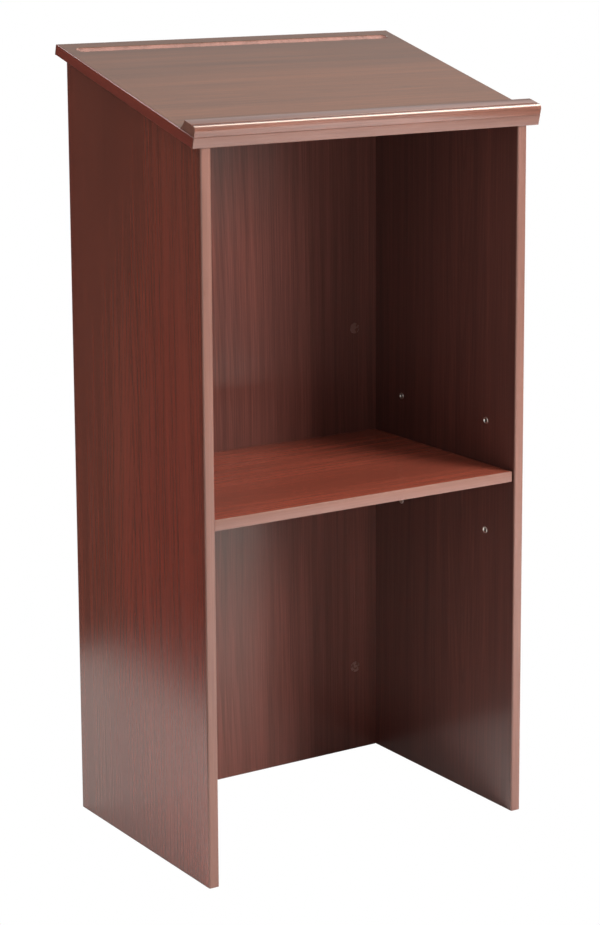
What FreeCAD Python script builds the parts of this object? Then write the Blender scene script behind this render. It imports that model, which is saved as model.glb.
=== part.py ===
import FreeCAD, Part
import math
import os

from FreeCAD import Placement, Rotation, Vector

# A stand-up lectern of laminated 16 mm board, open on the speaker's side.
# Frame: +X to the speaker's right, +Y towards the audience, +Z up.
# Origin: on the floor, in the middle of the overall width and depth.
# While it is being built, Y is counted from the speaker's edges of the side panels.
# "near" is the speaker's side and "far" the audience's side.

# Driving dimensions, in millimetres and degrees
overall_height = 1168.4
top_width = 584.2
top_length = 406.4
top_slope = 15.0
board = 16.0
carcass_width = 552.0
side_depth = 381.0
near_overhang = 10.2
front_panel_inset = 1.0

# Edging
wide_band = 3.0
wide_band_round = 2.4
top_band = 2.0
top_band_round = 1.5
thin_band = 1.0
thin_band_round = 0.6

# Top board
laminate = 0.8
backer = 0.5
groove_tool_radius = 11.5
groove_depth = 5.2
groove_from_far_edge = 30.0
groove_from_side_edge = 18.0

# Paper stop, a moulding along the near edge of the top
stop_base = 37.5
stop_height = 15.0
stop_flat_end = 29.5
stop_lip = 1.5
stop_cove_sag = 1.2
bead_radius = 6.5
bead_turn_past_top = 40.0
stop_screw_places = (-230.0, -80.0, 80.0, 230.0)
stop_screw_radius = 2.0
stop_screw_bite = 10.0
stop_screw_head_radius = 4.0
stop_screw_head_height = 2.6

# Shelf and its supports
shelf_top = 531.7
shelf_near = 4.5
shelf_end_gap = 2.0
shelf_far_gap = 0.5
pin_near = 72.0
pin_far = 292.0
pin_pitch = 85.0
pin_radius = 3.15
pin_length = 10.0
pin_running_gap = 0.1
pin_plate = 1.5
pin_tab_length = 10.0
pin_tab_width = 10.0
pin_tab_thickness = 2.2
pin_plate_drop = 7.0
sleeve_bore_radius = 3.2
sleeve_outer_radius = 4.0
sleeve_length = 10.2
sleeve_flange_radius = 5.2
sleeve_flange = 0.8
sleeve_flange_round = 0.55

# Cam fastenings and dowels
cam_reach = 41.0
cam_radius = 7.5
cam_depth = 12.5
cam_slack = 0.1
cam_cover_radius = 8.5
cam_cover_rim = 0.6
cam_cover_height = 1.4
cam_cover_bevel = 1.6
cam_cover_stub_radius = 2.5
cam_cover_stub = 2.0
bolt_thread_radius = 2.5
bolt_thread_length = 11.0
bolt_collar_radius = 3.9
bolt_collar = 2.0
bolt_shaft_radius = 3.0
bolt_neck_radius = 2.0
bolt_neck = 4.0
bolt_head_radius = 3.4
bolt_head = 2.6
edge_bore_radius = 4.0
dowel_radius = 4.0
dowel_in_face = 10.0
dowel_in_edge = 20.0
dowel_end_gap = 1.0
tap_slack = 0.02
front_cam_heights = (139.0, 700.0)
front_dowel_heights = (60.0, 420.0, 980.0)
top_cam_places = (125.0, 305.0)
top_dowel_places = (60.0, 215.0, 365.0)

# Worked-out sizes
slope = math.radians(top_slope)
top_near_y = -near_overhang
top_near_z = overall_height - top_length * math.sin(slope)
outer_x = carcass_width / 2
inner_x = outer_x - board
half_top = top_width / 2
panel_far = side_depth - front_panel_inset
panel_near = panel_far - board
shelf_bottom = shelf_top - board
shelf_far = panel_near - shelf_far_gap
shelf_half = inner_x - shelf_end_gap
pin_height = shelf_bottom - pin_running_gap - pin_radius
pin_heights = (pin_height - pin_pitch, pin_height, pin_height + pin_pitch)

# The top is built flat: X across, Y up the slope from the near edge, Z square to the board with
# zero at its upper face. This placement then tilts it and lifts it to its height.
tilt = Placement(Vector(0, top_near_y, top_near_z), Rotation(Vector(1, 0, 0), top_slope))

# The nearest point of the whole lectern is on the bead of the paper stop, and the farthest is the
# lower far corner of the top.
bead_centre_y = top_near_y + bead_radius * math.cos(slope) - (stop_height - bead_radius) * math.sin(slope)
nearest_y = bead_centre_y - bead_radius
far_corner_rise = top_band_round * (math.sin(slope) + math.cos(slope) - 1)
farthest_y = top_near_y + top_length * math.cos(slope) + board * math.sin(slope) - far_corner_rise
middle_y = (nearest_y + farthest_y) / 2

x_axis = Vector(1, 0, 0)
y_axis = Vector(0, 1, 0)
z_axis = Vector(0, 0, 1)


def block(x_span, y_span, z_span):
    """A rectangular block given its low and high limits along each axis."""
    sizes = [span[1] - span[0] for span in (x_span, y_span, z_span)]
    return Part.makeBox(*sizes, Vector(x_span[0], y_span[0], z_span[0]))


def rod(radius, start, direction, length):
    """A plain cylinder from a start point along a direction."""
    return Part.makeCylinder(radius, length, start, direction)


def face_of(edges):
    """A flat face bounded by edges that follow each other round."""
    return Part.Face(Part.Wire(edges))


def line(start, end):
    return Part.makeLine(start, end)


def arc(start, middle, end):
    return Part.Arc(start, middle, end).toShape()


def under_top(x_span):
    """Everything below the underside of the sloping top, between two X limits."""
    reach = 2 * top_length
    below = Vector(0, 0, -board)
    corners = [
        tilt.multVec(below + Vector(0, -reach / 4, 0)),
        tilt.multVec(below + Vector(0, reach, 0)),
    ]
    outline = [
        Vector(x_span[0], corners[0].y, -1),
        Vector(x_span[0], corners[1].y, -1),
        Vector(x_span[0], corners[1].y, corners[1].z),
        Vector(x_span[0], corners[0].y, corners[0].z),
    ]
    return Part.Face(Part.makePolygon(outline + outline[:1])).extrude(x_axis * (x_span[1] - x_span[0]))


def edge_band(corner, across, outward, along, size, rounding):
    """Edging: size is its width, thickness and length, and its two outer corners are rounded."""
    width, thickness, length = size
    inset = rounding * (1 - math.sqrt(0.5))

    def at(u, v):
        return corner + across * u + outward * v

    section = [
        line(at(0, 0), at(width, 0)),
        line(at(width, 0), at(width, thickness - rounding)),
        arc(at(width, thickness - rounding), at(width - inset, thickness - inset),
            at(width - rounding, thickness)),
        line(at(width - rounding, thickness), at(rounding, thickness)),
        arc(at(rounding, thickness), at(inset, thickness - inset), at(0, thickness - rounding)),
        line(at(0, thickness - rounding), at(0, 0)),
    ]
    return face_of(section).extrude(along * length)


def mirrored(shape):
    """The same piece on the other side of the lectern."""
    return shape.mirror(Vector(0, 0, 0), x_axis)


def tilted(shape):
    """A piece of the top, moved from the flat drawing to its slope and height."""
    return placed(shape, tilt)


def across_slope(u, v):
    """A point of the paper stop's section, u up the slope and v square to the board."""
    return Vector(-half_top, u, v)


# Cam fastenings. Each is drawn once in its own frame: the origin is where two boards meet, in the
# middle of the thickness of the board that holds the cam, +Z runs into that board along the bolt,
# and +X points out of the face that the cam is let into.

def cam_bolt():
    """A steel bolt: thread, collar, shaft, thin neck and the head that the cam pulls on."""
    neck_start = cam_reach - bolt_neck
    pieces = [
        rod(bolt_thread_radius, Vector(0, 0, -bolt_thread_length), z_axis, bolt_thread_length),
        rod(bolt_collar_radius, Vector(0, 0, 0), z_axis, bolt_collar),
        rod(bolt_shaft_radius, Vector(0, 0, bolt_collar), z_axis, neck_start - bolt_collar),
        rod(bolt_neck_radius, Vector(0, 0, neck_start), z_axis, bolt_neck),
        rod(bolt_head_radius, Vector(0, 0, cam_reach), z_axis, bolt_head),
    ]
    return pieces[0].multiFuse(pieces[1:]).removeSplitter()


def cam_lock():
    """A die-cast cam, slotted for the bolt's head, with a cross recess for the screwdriver."""
    outer = board / 2
    depth = cam_depth - cam_slack
    body = rod(cam_radius - cam_slack, Vector(outer - depth, 0, cam_reach), x_axis, depth)
    mouth = bolt_head_radius + 0.5
    throat = bolt_neck_radius + 0.4
    head_room = block((-mouth, mouth), (-mouth, mouth), (cam_reach - 0.3, cam_reach + mouth))
    bolt_way = block((-throat, throat), (-throat, throat), (0, cam_reach))
    shaft_room = block((-mouth, mouth), (-mouth, mouth), (0, cam_reach - bolt_neck + 0.3))
    recess_depth = (outer - cam_cover_stub - 0.3, outer + 1)
    recess = rod(cam_cover_stub_radius + 0.1, Vector(recess_depth[0], 0, cam_reach), x_axis, cam_cover_stub + 1)
    cross_arms = [
        block(recess_depth, (-5, 5), (cam_reach - 0.7, cam_reach + 0.7)),
        block(recess_depth, (-0.7, 0.7), (cam_reach - 5, cam_reach + 5)),
    ]
    return body.cut([head_room, bolt_way, shaft_room, recess] + cross_arms)


def cam_cover():
    """A low cap over the cam with a bevelled rim, and a stub that plugs into its recess."""
    centre = Vector(board / 2, 0, cam_reach)
    rim = rod(cam_cover_radius, centre, x_axis, cam_cover_rim)
    face_radius = cam_cover_radius - cam_cover_bevel
    bevel = Part.makeCone(cam_cover_radius, face_radius, cam_cover_height - cam_cover_rim,
                          centre + x_axis * cam_cover_rim, x_axis)
    stub = rod(cam_cover_stub_radius, centre - x_axis * cam_cover_stub, x_axis, cam_cover_stub)
    return rim.multiFuse([bevel, stub]).removeSplitter()


def cam_board_bores():
    """What is bored out of the board that holds the cam."""
    outer = board / 2
    pocket = rod(cam_radius, Vector(outer - cam_depth, 0, cam_reach), x_axis, cam_depth + 1)
    edge_bore = rod(edge_bore_radius, Vector(0, 0, -1), z_axis, cam_reach + 1)
    return pocket.fuse(edge_bore)


def bolt_board_bore():
    """The hole that the bolt's thread is driven into, in the other board."""
    radius = bolt_thread_radius + tap_slack
    return rod(radius, Vector(0, 0, -bolt_thread_length - 0.5), z_axis, bolt_thread_length + 0.5)


def dowel():
    """A fluteless wooden dowel across the same kind of meeting of two boards."""
    return rod(dowel_radius, Vector(0, 0, -dowel_in_face), z_axis, dowel_in_face + dowel_in_edge)


def dowel_bore():
    length = dowel_in_face + dowel_in_edge + 2 * dowel_end_gap
    return rod(dowel_radius + tap_slack, Vector(0, 0, -dowel_in_face - dowel_end_gap), z_axis, length)


def seat(origin, into_board, out_of_face):
    """The placement of a fastening whose bolt runs into_board and whose cam faces out_of_face."""
    third = into_board.cross(out_of_face)
    matrix = FreeCAD.Matrix(
        out_of_face.x, third.x, into_board.x, origin.x,
        out_of_face.y, third.y, into_board.y, origin.y,
        out_of_face.z, third.z, into_board.z, origin.z,
        0, 0, 0, 1)
    return Placement(matrix)


def placed(shape, placement):
    """A copy of a shape, moved from the frame it was drawn in."""
    copy = shape.copy()
    copy.Placement = placement.multiply(copy.Placement)
    return copy


def front_seats(heights):
    """Where the front panel's ends meet the side panels: right side first, then left."""
    middle = panel_near + board / 2
    seats = []
    for side in (1, -1):
        for height in heights:
            seats.append(seat(Vector(side * inner_x, middle, height), x_axis * -side, y_axis * -1))
    return seats


def top_seats(places, side):
    """Where one side panel's sloping top edge meets the underside of the top."""
    down = tilt.Rotation.multVec(z_axis * -1)
    middle = inner_x + board / 2
    seats = []
    for place in places:
        origin = tilt.multVec(Vector(side * middle, place, -board))
        seats.append(seat(origin, down, x_axis * -side))
    return seats


front_cam_seats = front_seats(front_cam_heights)
front_dowel_seats = front_seats(front_dowel_heights)
side_cam_seats = {side: top_seats(top_cam_places, side) for side in (1, -1)}
side_dowel_seats = {side: top_seats(top_dowel_places, side) for side in (1, -1)}
top_cam_seats = side_cam_seats[1] + side_cam_seats[-1]
top_dowel_seats = side_dowel_seats[1] + side_dowel_seats[-1]


def at_seats(shape, seats):
    return [placed(shape, one) for one in seats]


# Shelf supports

def sleeve_places():
    """Bore mouths in the side panels: side, distance from the near edge, and height."""
    return [(side, y, z) for side in (1, -1) for y in (pin_near, pin_far) for z in pin_heights]


def sleeve(side, y, z):
    """A nickelled sleeve with a half-round flange, pressed into the inner face of a side panel."""
    mouth = Vector(side * inner_x, y, z)
    outward = x_axis * side
    shank = rod(sleeve_outer_radius, mouth, outward, sleeve_length)
    flange = rod(sleeve_flange_radius, mouth - outward * sleeve_flange, outward, sleeve_flange)
    rim = [edge for edge in flange.Edges if abs(edge.CenterOfMass.x - (mouth.x - side * sleeve_flange)) < 0.01]
    flange = flange.makeFillet(sleeve_flange_round, rim)
    bore = rod(sleeve_bore_radius, mouth - outward * 2, outward, sleeve_length + 4)
    return shank.fuse(flange).removeSplitter().cut(bore)


def sleeve_bore(side, y, z):
    """The drilling in the side panel that holds a sleeve."""
    return rod(sleeve_outer_radius + tap_slack, Vector(side * inner_x, y, z), x_axis * side, sleeve_length + 0.3)


def shelf_pin(side, y):
    """A round pin with a back plate against the sleeve and a tab under the shelf."""
    inward = x_axis * -side
    plate_x = side * (inner_x - sleeve_flange - pin_running_gap)
    tab_top = pin_height + pin_radius
    shank = rod(pin_radius, Vector(plate_x, y, pin_height), inward * -1, pin_length)
    plate_span = sorted((plate_x, plate_x - side * pin_plate))
    tab_span = sorted((plate_x, plate_x - side * pin_tab_length))
    across = (y - pin_tab_width / 2, y + pin_tab_width / 2)
    plate = block(plate_span, across, (tab_top - pin_plate_drop, tab_top))
    tab = block(tab_span, across, (tab_top - pin_tab_thickness, tab_top))
    return shank.multiFuse([plate, tab]).removeSplitter()


# Carcass

def side_panel(side):
    """A side board between its edgings, cut to the slope and bored for all its fastenings."""
    x_span = sorted((side * inner_x, side * outer_x))
    blank = block(x_span, (wide_band, side_depth - thin_band), (thin_band, overall_height))
    panel = blank.common(under_top(x_span))
    bores = at_seats(cam_board_bores(), side_cam_seats[side])
    bores += at_seats(dowel_bore(), side_dowel_seats[side])
    own_front_cams = [one for one in front_cam_seats if one.Base.x * side > 0]
    own_front_dowels = [one for one in front_dowel_seats if one.Base.x * side > 0]
    bores += at_seats(bolt_board_bore(), own_front_cams)
    bores += at_seats(dowel_bore(), own_front_dowels)
    bores += [sleeve_bore(*place) for place in sleeve_places() if place[0] == side]
    return panel.cut(bores)


def side_bands(side):
    """The side panel's edging: speaker's edge, audience edge and foot."""
    x_low = min(side * inner_x, side * outer_x)
    x_span = (x_low, x_low + board)
    near = edge_band(Vector(x_low, wide_band, 0), x_axis, y_axis * -1, z_axis,
                     (board, wide_band, overall_height), wide_band_round)
    far = edge_band(Vector(x_low, side_depth - thin_band, 0), x_axis, y_axis, z_axis,
                    (board, thin_band, overall_height), thin_band_round)
    foot = block(x_span, (wide_band, side_depth - thin_band), (0, thin_band))
    return near.common(under_top(x_span)), far.common(under_top(x_span)), foot


def front_panel():
    """The audience-side board between the side panels, its top edge cut to the slope."""
    x_span = (-inner_x, inner_x)
    blank = block(x_span, (panel_near, panel_far), (thin_band, overall_height))
    panel = blank.common(under_top(x_span))
    bores = at_seats(cam_board_bores(), front_cam_seats)
    bores += at_seats(dowel_bore(), front_dowel_seats)
    return panel.cut(bores)


# Top, drawn flat

def groove_tool():
    """The round-nosed cutter's path along the pen groove, with its rounded ends."""
    axis_height = groove_tool_radius - groove_depth
    half_mouth = math.sqrt(groove_tool_radius ** 2 - axis_height ** 2)
    end_x = half_top - groove_from_side_edge - half_mouth
    y = top_length - groove_from_far_edge
    starts = [Vector(x, y, axis_height) for x in (-end_x, end_x)]
    run = rod(groove_tool_radius, starts[0], x_axis, 2 * end_x)
    return run.multiFuse([Part.makeSphere(groove_tool_radius, start) for start in starts])


def top_sheet(z_span):
    """A flat layer of the top, inside its edging."""
    half = half_top - top_band
    return block((-half, half), (top_band, top_length - top_band), z_span)


def top_bores():
    """Holes from below: the cam bolts, the dowels and the paper stop's screws."""
    inverse = tilt.inverse()
    bores = [placed(bolt_board_bore(), inverse.multiply(one)) for one in top_cam_seats]
    bores += [placed(dowel_bore(), inverse.multiply(one)) for one in top_dowel_seats]
    return bores + [screw_shank(x, tap_slack) for x in stop_screw_places]


def top_edging():
    """Speaker's and audience edge bands over the full width, and the two side bands between them."""
    lower = Vector(-half_top, 0, -board)
    near = edge_band(lower + y_axis * top_band, z_axis, y_axis * -1, x_axis,
                     (board, top_band, top_width), top_band_round)
    far = edge_band(lower + y_axis * (top_length - top_band), z_axis, y_axis, x_axis,
                    (board, top_band, top_width), top_band_round)
    left = edge_band(lower + x_axis * top_band + y_axis * top_band, z_axis, x_axis * -1, y_axis,
                     (board, top_band, top_length - 2 * top_band), top_band_round)
    return near, far, left, mirrored(left)


def screw_shank(x, slack):
    """A paper stop screw's shank, from the underside of the top up into the stop."""
    start = Vector(x, stop_base / 2, -board)
    return rod(stop_screw_radius + slack, start, z_axis, board + stop_screw_bite + slack)


def stop_screw(x):
    """A pan-head screw whose head sits under the top."""
    start = Vector(x, stop_base / 2, -board - stop_screw_head_height)
    head = rod(stop_screw_head_radius, start, z_axis, stop_screw_head_height)
    lower_rim = [edge for edge in head.Edges if abs(edge.CenterOfMass.z - start.z) < 0.01]
    head = head.makeFillet(stop_screw_head_height * 0.6, lower_rim)
    slot = block((x - 0.5, x + 0.5), (start.y - 3, start.y + 3), (start.z - 1, start.z + 1))
    cross_slot = block((x - 3, x + 3), (start.y - 0.5, start.y + 0.5), (start.z - 1, start.z + 1))
    return head.fuse(screw_shank(x, 0)).removeSplitter().cut([slot, cross_slot])


def paper_stop():
    """A moulding with a bead on its near corner, a quirk behind it and a coved back."""
    centre = (bead_radius, stop_height - bead_radius)
    past = math.radians(bead_turn_past_top)
    quirk = (centre[0] + bead_radius * math.sin(past), centre[1] + bead_radius * math.cos(past))
    bead_top = across_slope(bead_radius, stop_height)
    near_tangent = across_slope(0, centre[1])
    quirk_foot = across_slope(*quirk)
    quirk_arris = across_slope(quirk[0], stop_height)
    flat_end = across_slope(stop_flat_end, stop_height)
    lip = across_slope(stop_base, stop_lip)
    chord = (lip - flat_end).normalize()
    hollow = (flat_end + lip) * 0.5 - Vector(0, -chord.z, chord.y) * stop_cove_sag
    outline = [
        line(across_slope(0, 0), near_tangent),
        arc(near_tangent, bead_top, quirk_foot),
        line(quirk_foot, quirk_arris),
        line(quirk_arris, flat_end),
        arc(flat_end, hollow, lip),
        line(lip, across_slope(stop_base, 0)),
        line(across_slope(stop_base, 0), across_slope(0, 0)),
    ]
    bar = face_of(outline).extrude(x_axis * top_width)
    return bar.cut([screw_shank(x, tap_slack) for x in stop_screw_places])


# Shelf

def shelf_bands():
    """Edging of the shelf: speaker's edge, audience edge, left end and right end."""
    lower = Vector(-shelf_half, 0, shelf_bottom)
    width = 2 * shelf_half
    near = edge_band(lower + y_axis * (shelf_near + top_band), z_axis, y_axis * -1, x_axis,
                     (board, top_band, width), top_band_round)
    far = edge_band(lower + y_axis * (shelf_far - thin_band), z_axis, y_axis, x_axis,
                    (board, thin_band, width), thin_band_round)
    depth = shelf_far - shelf_near - top_band - thin_band
    left = edge_band(lower + x_axis * thin_band + y_axis * (shelf_near + top_band), z_axis, x_axis * -1,
                     y_axis, (board, thin_band, depth), thin_band_round)
    return near, far, left, mirrored(left)


def shelf_board():
    half = shelf_half - thin_band
    return block((-half, half), (shelf_near + top_band, shelf_far - thin_band), (shelf_bottom, shelf_top))


def lectern():
    """Every piece of the lectern by name."""
    pieces = {}
    for side, name in ((-1, "left"), (1, "right")):
        pieces[name + "_side_panel"] = side_panel(side)
        near, far, foot = side_bands(side)
        pieces[name + "_side_speaker_edge_band"] = near
        pieces[name + "_side_audience_edge_band"] = far
        pieces[name + "_side_foot_band"] = foot
    pieces["front_panel"] = front_panel()
    pieces["front_panel_foot_band"] = block((-inner_x, inner_x), (panel_near, panel_far), (0, thin_band))

    groove = groove_tool()
    bores = top_bores()
    pieces["top_laminate"] = tilted(top_sheet((-laminate, 0)).cut([groove] + bores))
    pieces["top_core"] = tilted(top_sheet((backer - board, -laminate)).cut([groove] + bores))
    pieces["top_backer"] = tilted(top_sheet((-board, backer - board)).cut(bores))
    for name, band in zip(("speaker", "audience", "left", "right"), top_edging()):
        pieces["top_" + name + "_edge_band"] = tilted(band)
    pieces["paper_stop"] = tilted(paper_stop())
    pieces["paper_stop_screws"] = Part.makeCompound([tilted(stop_screw(x)) for x in stop_screw_places])

    pieces["shelf_board"] = shelf_board()
    for name, band in zip(("speaker_edge", "audience_edge", "left_end", "right_end"), shelf_bands()):
        pieces["shelf_" + name + "_band"] = band
    for side, side_name in ((-1, "left"), (1, "right")):
        for y, place_name in ((pin_near, "near"), (pin_far, "far")):
            pieces["shelf_pin_" + side_name + "_" + place_name] = shelf_pin(side, y)
    pieces["shelf_pin_sleeves"] = Part.makeCompound([sleeve(*place) for place in sleeve_places()])

    for name, cam_seats, dowel_seats in (("front", front_cam_seats, front_dowel_seats),
                                         ("top", top_cam_seats, top_dowel_seats)):
        pieces[name + "_cam_locks"] = Part.makeCompound(at_seats(cam_lock(), cam_seats))
        pieces[name + "_cam_bolts"] = Part.makeCompound(at_seats(cam_bolt(), cam_seats))
        pieces[name + "_cam_covers"] = Part.makeCompound(at_seats(cam_cover(), cam_seats))
        pieces[name + "_dowels"] = Part.makeCompound(at_seats(dowel(), dowel_seats))
    return pieces


os.makedirs("parts", exist_ok=True)
for piece_name, piece in lectern().items():
    piece.translate(Vector(0, -middle_y, 0))
    piece.exportStep("parts/" + piece_name + ".step")
    print(piece_name, len(piece.Solids), round(piece.Volume), piece.isValid())
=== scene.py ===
import math

import bmesh
import bpy
from mathutils import Matrix, Vector


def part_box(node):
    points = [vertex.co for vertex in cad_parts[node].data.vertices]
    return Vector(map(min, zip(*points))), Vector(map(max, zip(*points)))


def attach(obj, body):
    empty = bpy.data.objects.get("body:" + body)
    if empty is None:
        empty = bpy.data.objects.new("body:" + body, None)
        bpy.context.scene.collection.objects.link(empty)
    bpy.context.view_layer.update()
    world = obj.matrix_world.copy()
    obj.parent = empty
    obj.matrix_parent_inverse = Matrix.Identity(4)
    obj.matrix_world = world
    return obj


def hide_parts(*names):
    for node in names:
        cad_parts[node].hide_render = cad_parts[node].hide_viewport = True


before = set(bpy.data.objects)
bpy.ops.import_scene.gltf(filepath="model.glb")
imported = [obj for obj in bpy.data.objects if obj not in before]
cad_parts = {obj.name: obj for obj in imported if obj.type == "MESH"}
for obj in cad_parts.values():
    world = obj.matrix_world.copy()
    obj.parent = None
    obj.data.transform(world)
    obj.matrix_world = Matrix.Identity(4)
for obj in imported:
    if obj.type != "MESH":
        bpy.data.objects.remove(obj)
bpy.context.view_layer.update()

bl_info = {
    "name": "Presentation Lectern",
    "version": (1, 0, 0),
    "blender": (4, 5, 0),
    "location": "3D View > Sidebar > Lectern",
    "description": "Visible pieces, finishes and stage for a stand-up lectern of laminated board",
    "category": "Object",
}

# The lectern stands on the floor at Z = 0. +X is to the speaker's right, +Y towards the audience.
# "near" is the speaker's side and "far" the audience's side.

mm = 0.001
X, Y, Z = Vector((1, 0, 0)), Vector((0, 1, 0)), Vector((0, 0, 1))


# Sizes and colours that a user would change

def length_setting(name, description, millimetres):
    """A length, kept in metres."""
    return bpy.props.FloatProperty(name=name, description=description, default=millimetres * mm,
                                   subtype="DISTANCE", unit="LENGTH", precision=5)


def angle_setting(name, description, degrees):
    """An angle, kept in radians."""
    return bpy.props.FloatProperty(name=name, description=description, default=math.radians(degrees),
                                   subtype="ANGLE", unit="ROTATION")


def colour_setting(name, description, colour):
    return bpy.props.FloatVectorProperty(name=name, description=description, default=colour,
                                         subtype="COLOR", size=3)


def power_setting(name, description, watts):
    return bpy.props.FloatProperty(name=name, description=description, default=watts, subtype="POWER")


class LecternSizes(bpy.types.PropertyGroup):
    """Sizes of the pieces that are drawn here around the boards of the frame."""

    top_slope: angle_setting("Top slope", "How far the reading surface leans towards the speaker", 15)
    arris: length_setting("Arris", "Fine bevel where edging meets a board", 0.18)
    wide_band_round: length_setting(
        "Side edging round", "Rounding of the thick edging on the side panels", 2.4)
    top_band_round: length_setting(
        "Top edging round", "Rounding of the edging on the top and the shelf's front", 1.5)
    thin_band_round: length_setting("Thin edging round", "Rounding of the thin edging", 0.6)
    bead_radius: length_setting("Bead radius", "Radius of the bead along the paper stop", 6.5)
    bead_past_top: angle_setting(
        "Bead turn", "How far the bead turns past its highest line into the quirk", 40)
    stop_base: length_setting("Paper stop depth", "Depth of the paper stop on the board", 37.5)
    stop_height: length_setting("Paper stop height", "Height of the paper stop above the board", 15)
    stop_flat_end: length_setting("Paper stop flat", "Where the flat top of the paper stop ends", 29.5)
    stop_lip: length_setting("Paper stop lip", "Thickness left at the back edge of the paper stop", 1.5)
    stop_cove_sag: length_setting("Cove sag", "How deep the coved back of the paper stop is hollowed", 1.2)
    stop_eased: length_setting("Paper stop easing", "Rounding of the paper stop's sharp corners", 0.35)
    groove_radius: length_setting(
        "Groove cutter radius", "Radius of the round-nosed cutter of the pen groove", 11.5)
    groove_depth: length_setting("Groove depth", "Depth of the pen groove", 5.2)
    groove_from_far_edge: length_setting(
        "Groove to far edge", "From the pen groove's middle to the far edge of the top", 30)
    groove_from_side_edge: length_setting(
        "Groove to side edge", "From the pen groove's end to the side edge of the top", 18)
    cap_radius: length_setting("Cam cap radius", "Radius of the plastic caps over the cam fastenings", 8.5)
    cap_height: length_setting("Cam cap height", "How far a cam cap stands proud of its board", 1.4)
    sleeve_bore: length_setting("Sleeve bore radius", "Radius of the bore of a shelf pin sleeve", 3.2)
    sleeve_flange: length_setting("Sleeve flange radius", "Radius of the flange of a shelf pin sleeve", 5.2)
    sleeve_flange_height: length_setting(
        "Sleeve flange height", "How far a sleeve's flange stands proud of its board", 0.8)
    sleeve_shank: length_setting(
        "Sleeve shank radius", "Outer radius of the part of a sleeve inside the board", 4)
    pin_radius: length_setting("Shelf pin radius", "Radius of a shelf pin's round shank", 3.15)
    pin_plate: length_setting("Shelf pin plate", "Thickness of a shelf pin's back plate", 1.5)
    pin_tab: length_setting("Shelf pin tab", "Thickness of a shelf pin's tab under the shelf", 2.2)
    pin_eased: length_setting("Shelf pin easing", "Rounding of a shelf pin's stamped corners", 0.3)


class LecternFinishes(bpy.types.PropertyGroup):
    """Colours of the finishes."""

    mahogany: colour_setting(
        "Mahogany", "Middle tone of the decor on the upright boards", (0.126, 0.021, 0.012))
    mahogany_brown: colour_setting(
        "Mahogany, brown", "Browner patches and dark lines of the decor", (0.095, 0.028, 0.017))
    # Painted shade: a darker, duller tone of the same decor, standing in for the shade inside the
    # compartments
    inner_decor_painted_shade: colour_setting(
        "Inner decor", "Middle tone of the decor facing the two compartments", (0.089, 0.027, 0.020))
    # Painted light: the shelf's own decor tone, made lighter than the upright boards' to stand in for the
    # light that falls on the shelf
    shelf_decor_painted_light: colour_setting("Shelf decor", "Middle tone of the decor on the shelf", (0.250, 0.056, 0.033))
    top_decor: colour_setting(
        "Top decor", "Middle tone of the decor on the sloping top", (0.105, 0.035, 0.014))
    edging: colour_setting("Edging", "Plastic edging", (0.132, 0.057, 0.041))
    moulding: colour_setting("Moulding", "Stained wood of the paper stop", (0.125, 0.048, 0.032))
    core: colour_setting("Core", "Stained core of the top, bare in the pen groove", (0.205, 0.100, 0.080))
    backer: colour_setting("Backer", "Backing sheet under the top", (0.100, 0.045, 0.035))
    cap_plastic: colour_setting("Cap plastic", "Brown plastic of the cam caps", (0.120, 0.050, 0.038))
    nickel: colour_setting("Nickel", "Nickel plate of the sleeves and shelf pins", (0.74, 0.71, 0.66))
    beech: colour_setting("Beech", "Raw wood of the dowels", (0.62, 0.43, 0.26))


class LecternStage(bpy.types.PropertyGroup):
    """Camera, lights and floor."""

    camera_place: bpy.props.FloatVectorProperty(
        name="Camera place", description="Where the camera stands",
        default=(-1.9381, -3.0045, 1.3859), subtype="TRANSLATION", unit="LENGTH", size=3)
    camera_turn: angle_setting(
        "Camera turn", "How far the camera looks to the right of straight ahead", 32.84)
    camera_tilt: angle_setting("Camera tilt", "How far the camera looks down", 10.01)
    camera_roll: angle_setting("Camera roll", "How far the camera leans about its own axis", -0.31)
    lens: bpy.props.FloatProperty(
        name="Lens", description="Focal length in millimetres", default=95.45)
    shift: bpy.props.FloatProperty(
        name="Shift", description="Vertical shift of the lens, as a share of the frame's height",
        default=-0.15)
    floor_colour: colour_setting(
        "Floor", "Pale studio floor, which the camera does not see", (0.94, 0.938, 0.932))
    surround: bpy.props.FloatProperty(
        name="Surround", description="Brightness of the studio's even light", default=1.0)
    key_power: power_setting("Right key power", "Power of the soft light in front on the right", 230.0)
    side_power: power_setting("Left light power", "Power of the soft light on the left", 10.0)
    card_power: power_setting("Card power", "Power of each of the two mirrored cards on the right", 5.5)
    glint_power: power_setting("Glint power", "Power of the mirrored card on the left", 24.0)
    strip_power: power_setting("Strip power", "Power of the broad mirrored light overhead", 165.0)
    rim_power: power_setting("Rim light power", "Power of the mirrored light behind on the left", 65.0)


# Shader graphs

class Wire:
    """The output of a shader node. Arithmetic on it adds Math nodes."""

    def __init__(self, graph, socket):
        self.graph = graph
        self.socket = socket

    def math(self, operation, *values):
        return self.graph.node("ShaderNodeMath", {"operation": operation}, dict(enumerate(values)))

    def __add__(self, other):
        return self.math("ADD", self, other)

    def __radd__(self, other):
        return self.math("ADD", other, self)

    def __sub__(self, other):
        return self.math("SUBTRACT", self, other)

    def __rsub__(self, other):
        return self.math("SUBTRACT", other, self)

    def __mul__(self, other):
        return self.math("MULTIPLY", self, other)

    def __truediv__(self, other):
        return self.math("DIVIDE", self, other)

    def root(self):
        return self.math("SQRT", self)

    def size(self):
        return self.math("ABSOLUTE", self)

    def fraction(self):
        return self.math("FRACT", self)

    def step(self, low, high):
        """0 below low, 1 above high and smooth between them."""
        return self.graph.node(
            "ShaderNodeMapRange", {"interpolation_type": "SMOOTHSTEP"},
            {"Value": self, "From Min": low, "From Max": high})


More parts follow.
